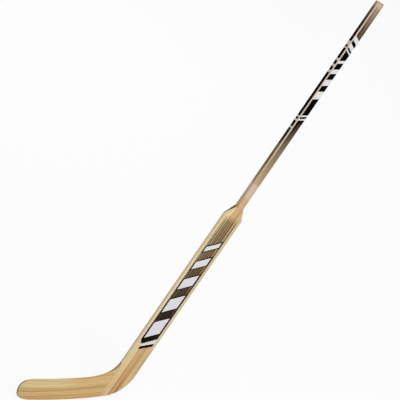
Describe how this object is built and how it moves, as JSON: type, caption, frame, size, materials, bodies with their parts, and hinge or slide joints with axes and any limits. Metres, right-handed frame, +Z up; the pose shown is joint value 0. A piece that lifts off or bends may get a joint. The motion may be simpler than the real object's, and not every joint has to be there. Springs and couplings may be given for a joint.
{
  "type": "hockey goalie stick",
  "caption": "Ice hockey goalkeeper's stick: laminated wood handle, wide paddle and a curved plank blade tongued into its foot, faced with glass cloth, in playing position.",
  "frame": {"origin": "on the sole at mid thickness, where the blade meets the paddle", "axes": "+Z up from the sole; the blade points along -X and the handle rises towards +X at 65 degrees; the front face looks along -Y and the toe curves towards +Y"},
  "size_m": [0.9714, 0.0491, 1.3379],
  "materials": {
    "handle_birch": "clear satin lacquer over straight-grained wood",
    "handle_aspen": "clear satin lacquer over straight-grained wood",
    "paddle_aspen": "clear satin lacquer over straight-grained wood",
    "blade_pale_ash": "clear satin lacquer over straight-grained wood",
    "blade_brown_ash": "clear satin lacquer over straight-grained wood",
    "blade_tan_ash": "clear satin lacquer over straight-grained wood",
    "faced_paddle": "clear glass cloth and lacquer over the wood, with a dark striped print on the paddle",
    "faced_handle": "clear glass cloth and lacquer, printed black with pale slanted bars and faded at both ends"
  },
  "bodies": {
    "root": {"handle_ply_1": "handle_birch", "handle_ply_3": "handle_birch", "handle_ply_5": "handle_birch", "handle_ply_2": "handle_aspen", "handle_ply_4": "handle_aspen", "paddle_front_slat": "paddle_aspen", "paddle_rear_slat": "paddle_aspen", "blade_upper_plank": "blade_pale_ash", "blade_middle_plank": "blade_brown_ash", "blade_lower_plank": "blade_tan_ash", "front_glass": "faced_paddle", "back_glass": "faced_paddle", "handle_front_glass": "faced_handle", "handle_back_glass": "faced_handle"}
  },
  "joints": []
}
